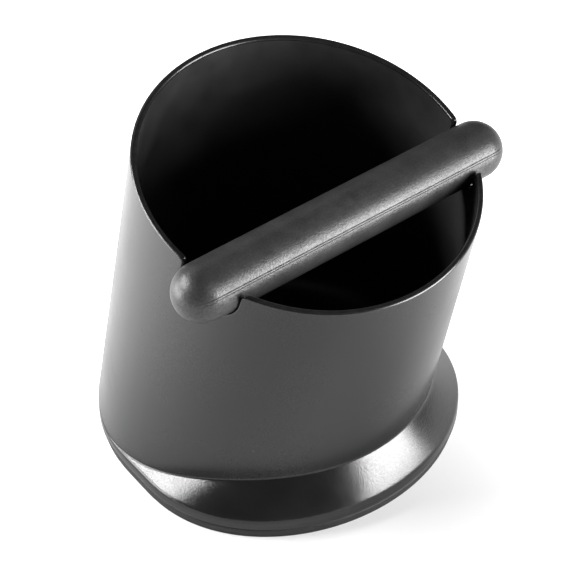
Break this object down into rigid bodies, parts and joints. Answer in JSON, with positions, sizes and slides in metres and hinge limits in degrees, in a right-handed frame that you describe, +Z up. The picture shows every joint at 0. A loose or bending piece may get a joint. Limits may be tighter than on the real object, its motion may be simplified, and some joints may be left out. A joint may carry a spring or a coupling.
{
  "type": "espresso knock box",
  "caption": "Leaning round bin with a tilted rim, a flared foot on a soft ring and a rubber-covered bar that lifts out of two notches, for knocking out spent coffee.",
  "frame": {"origin": "on the surface the object stands on, in the middle of its bounding box", "axes": "+Z up; -Y towards the low side of the rim, the knock bar and the flared side of the foot; the bar lies along X"},
  "size_m": [0.1608, 0.1694, 0.1643],
  "materials": {
    "body_plastic": "satin black moulded ABS, smooth walls, fine spark-eroded texture on the foot",
    "ring_rubber": "matte soft rubber",
    "bar_rubber": "dark grey moulded rubber, lightly sheened, with a parting line",
    "rod_steel": "bright drawn steel"
  },
  "bodies": {
    "tub": {"body_shell": "body_plastic", "base_ring": "ring_rubber"},
    "knock_bar": {"bar_sleeve": "bar_rubber", "bar_core": "rod_steel"}
  },
  "joints": [
    {"name": "knock_bar_lift", "type": "slide", "parent": "tub", "child": "knock_bar", "axis": [0, -0.2656, 0.9641], "range_m": [0, 0.06]}
  ]
}
